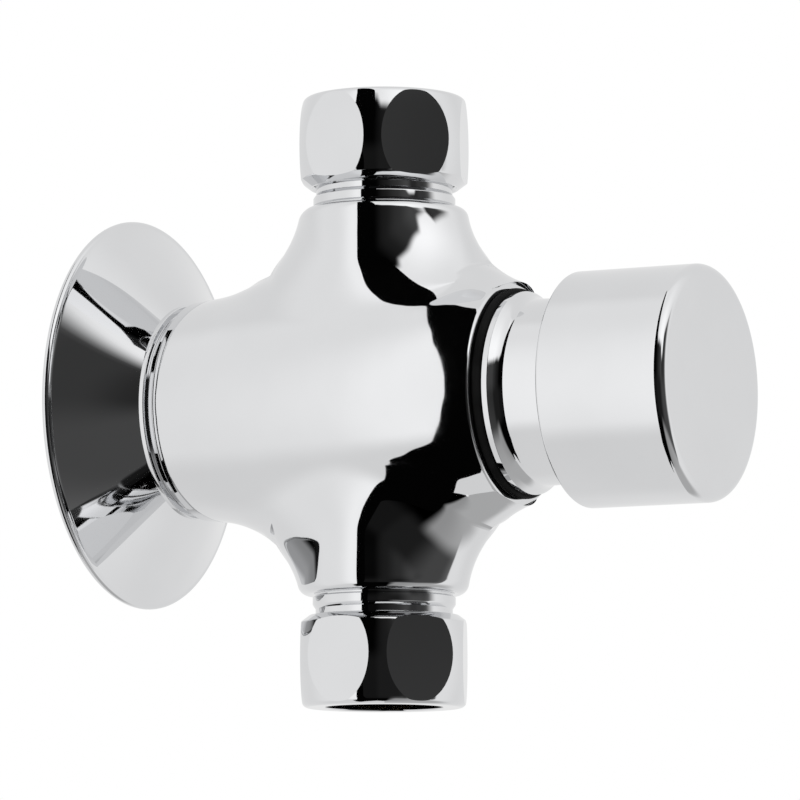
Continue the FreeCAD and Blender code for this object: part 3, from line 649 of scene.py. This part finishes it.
def card(name, across, upward, radius, place, tone, cuts):
    """Curved glowing card round the valve, painted with reflected light and shade; place turns a
    pair of numbers into a direction.
    """
    shape = bmesh.new()
    bmesh.ops.create_grid(shape, x_segments=cuts[0], y_segments=cuts[1], size=0.5)
    tones = []
    for vert in shape.verts:
        first = across[0] + (vert.co.x + 0.5) * (across[1] - across[0])
        second = upward[0] + (vert.co.y + 0.5) * (upward[1] - upward[0])
        vert.co = middle + place(first, second) * radius
        tones.append(tone(first, second))
    made = show(name, shape, painted_reflection_glow)
    layer = made.data.attributes.new("tone", "FLOAT", "POINT")
    layer.data.foreach_set("value", tones)
    made.visible_camera = False
    made.visible_diffuse = False
    made.visible_shadow = False


def by_compass(azimuth, elevation):
    """Direction at an azimuth to the right of the camera and an elevation, in degrees."""
    a, e = math.radians(azimuth), math.radians(elevation)
    level = level_back * math.cos(a) + camera_right * math.sin(a)
    return level * math.cos(e) + Vector((0, 0, math.sin(e)))


def by_arch(sideways, turn):
    """Direction with a share sideways of the camera's right, turned up about that line."""
    t = math.radians(turn)
    upright = level_back * math.cos(t) + Vector((0, 0, math.sin(t)))
    return camera_right * sideways + upright * math.sqrt(1 - sideways ** 2)


def ease(value, low, high):
    """0 below low, 1 above high and a smooth step between them."""
    share = min(1.0, max(0.0, (value - low) / (high - low)))
    return share * share * (3 - 2 * share)


def stepped(value, start, steps):
    """Start plus the rise of every eased step; a step is (begins, ends, rise)."""
    return start + sum(rise * ease(value, begins, ends) for begins, ends, rise in steps)


# Angles are in degrees, to the right of the camera or above eye level. A tone of 1 is white.
room_radius = 3.0
wall_tone = 0.92
rear_wall_steps = ((90, 125, -0.08),)
# A strip brighter than the walls at the camera's left: a painted highlight in the reflection.
painted_bright_strip = {"azimuth": -44, "width": 14, "rise": 0.18}
# Painted glow of the lamp, whose own reflection is switched off.
lamp_glow = {"azimuth": 32, "elevation": 34, "width": 28, "rise": 0.32}
left_floor_tone = 0.8
# The floor's right side is darker: painted shade in the reflection.
right_floor_tone = 0.34
right_floor_steps = ((20, 100, 0.14),)
floor_fade_in = (5, 21)
lit_floor_edge = (34, 52)
dark_floor_edge = (28, 44)
below_eye = (6, 16)
dark_begins = (-35, -33)
dark_finishes = (74, 94)
dark_finishes_lower = (79, 82)
eye_level_blur = (-5, 8)
dark_high = 0.001
dark_high_steps = ((-16, 2, 0.013), (0, 20, 0.022), (18, 38, 0.035), (38, 48, -0.045),
                   (52, 60, 0.018))
dark_low = 0.009
dark_low_steps = ((-14, -4, 0.005), (18, 50, 0.055))
dark_end_steps = ((66, 84, 0.08),)
dark_top = 33
dark_top_steps = ((-4, -12, 6), (5, 27, -6), (30, 42, -12), (49, 56, 13.5))
dark_top_blur = 4


def dark_side(azimuth, elevation):
    """Brightness of the unlit part of the room round the camera, above and below eye level."""
    high = stepped(azimuth, dark_high, dark_high_steps)
    low = stepped(azimuth, dark_low, dark_low_steps)
    tone = low + (high - low) * ease(elevation, *eye_level_blur)
    return stepped(azimuth, tone, dark_end_steps)


def painted_room_reflection(azimuth, elevation):
    """Painted reflection on the dome: white walls, a painted lamp glow, the unlit camera side and a
    floor with painted shade, darker to the right.
    """
    aside = (azimuth - lamp_glow["azimuth"]) * math.cos(math.radians(elevation))
    from_lamp = math.hypot(aside, elevation - lamp_glow["elevation"]) / lamp_glow["width"]
    from_strip = (azimuth - painted_bright_strip["azimuth"]) / painted_bright_strip["width"]
    walls = stepped(abs(azimuth), wall_tone, rear_wall_steps)
    walls += painted_bright_strip["rise"] * math.exp(-from_strip ** 2)
    walls += lamp_glow["rise"] * math.exp(-from_lamp ** 2)
    right_floor = stepped(azimuth, right_floor_tone, right_floor_steps)
    right_floor *= ease(azimuth, *floor_fade_in)
    lit_floor = right_floor if azimuth > 0 else left_floor_tone
    lit = walls + (lit_floor - walls) * ease(-elevation, *lit_floor_edge)
    dark = dark_side(azimuth, elevation)
    dark += (right_floor - dark) * ease(-elevation, *dark_floor_edge)
    top = stepped(azimuth, dark_top, dark_top_steps)
    under = 1 - ease(elevation, top - dark_top_blur, top + dark_top_blur)
    lower = ease(-elevation, *below_eye)
    edge = [eye + lower * (low - eye) for eye, low in zip(dark_finishes, dark_finishes_lower)]
    beside = ease(azimuth, *dark_begins) * (1 - ease(azimuth, *edge))
    return lit + (dark - lit) * under * beside


drape_radius = 2.9
drape_brightness = 0.001
drape_left = -0.613
drape_bow = 0.27
drape_bow_stops = -57
drape_left_steps = ((-75, -80, 0.055), (-80, -90, 0.09), (-93, -106, 0.12))
drape_right = -0.45
drape_right_steps = ((5, 25, 0.26), (85, 100, -0.03), (-30, -57, 0.5), (-60, -100, -0.26))


def drape(share, turn):
    """Direction on the near-black drapes, a painted dark reflection that hangs from ceiling to
    floor at the camera's left.
    """
    bow = drape_bow * (max(turn, drape_bow_stops) / 90) ** 2
    left = stepped(turn, drape_left + bow, drape_left_steps)
    right = stepped(turn, drape_right, drape_right_steps)
    return by_arch(left + share * (right - left), turn)


# Glowing dome: painted reflection of the room's light and shade.
card("room", (-180, 180), (-89, 89), room_radius, by_compass, painted_room_reflection, (240, 120))
# Near-black glowing drapes: a painted dark reflection.
card("painted_dark_drapes", (0, 1), (-106, 100), drape_radius, drape,
     lambda share, turn: drape_brightness, (16, 128))

floor_half = 6.0
floor_drop = 0.26
floor_shape = bmesh.new()
bmesh.ops.create_grid(floor_shape, x_segments=1, y_segments=1, size=floor_half)
bmesh.ops.translate(floor_shape, verts=floor_shape.verts, vec=(0, 0, -floor_drop))
floor_paint = bpy.data.materials.new("floor_paint")
floor_paint.use_nodes = True
nodes, link = floor_paint.node_tree.nodes, floor_paint.node_tree.links.new
matt = nodes["Principled BSDF"]
matt.inputs["Base Color"].default_value = (0.84, 0.84, 0.84, 1)
matt.inputs["Roughness"].default_value = 0.8
fade_begins, fade_ends = 0.5, 1.6
place = nodes.new("ShaderNodeTexCoord")
reach = nodes.new("ShaderNodeVectorMath")
reach.operation = "LENGTH"
fade = nodes.new("ShaderNodeMapRange")
fade.inputs["From Min"].default_value = fade_begins
fade.inputs["From Max"].default_value = fade_ends
white = nodes.new("ShaderNodeEmission")
blend = nodes.new("ShaderNodeMixShader")
link(place.outputs["Object"], reach.inputs[0])
link(reach.outputs["Value"], fade.inputs["Value"])
link(fade.outputs["Result"], blend.inputs["Fac"])
link(matt.outputs["BSDF"], blend.inputs[1])
link(white.outputs["Emission"], blend.inputs[2])
link(blend.outputs["Shader"], nodes["Material Output"].inputs["Surface"])
floor = show("floor", floor_shape, floor_paint)
floor.visible_glossy = False

world = bpy.data.worlds.new("white_surroundings")
bpy.context.scene.world = world
world.use_nodes = True
nodes, link = world.node_tree.nodes, world.node_tree.links.new
light_given = 0.85
sky = nodes["Background"]
sky.inputs["Color"].default_value = (1, 1, 1, 1)
rays = nodes.new("ShaderNodeLightPath")
shown = rays.outputs["Is Camera Ray"]
for kind in ("Is Glossy Ray", "Is Transmission Ray"):
    either = nodes.new("ShaderNodeMath")
    either.operation = "MAXIMUM"
    link(shown, either.inputs[0])
    link(rays.outputs[kind], either.inputs[1])
    shown = either.outputs["Value"]
level = nodes.new("ShaderNodeMapRange")
level.inputs["To Min"].default_value = light_given
level.inputs["To Max"].default_value = 1.0
link(shown, level.inputs["Value"])
link(level.outputs["Result"], sky.inputs["Strength"])

lamp_azimuth = 24
lamp_elevation = 44
lamp_distance = 0.95
lamp_data = bpy.data.lights.new("soft_lamp", "AREA")
lamp_data.shape = "RECTANGLE"
lamp_data.size = 1.15
lamp_data.size_y = 0.62
lamp_data.energy = 2.7
lamp = bpy.data.objects.new("soft_lamp", lamp_data)
lamp_direction = by_compass(lamp_azimuth, lamp_elevation)
lamp.location = middle + lamp_direction * lamp_distance
lamp.rotation_mode = "QUATERNION"
lamp.rotation_quaternion = (-lamp_direction).to_track_quat("-Z", "Y")
lamp.visible_glossy = False
bpy.context.scene.collection.objects.link(lamp)

bpy.context.scene.view_settings.view_transform = "Standard"
bpy.context.view_layer.update()
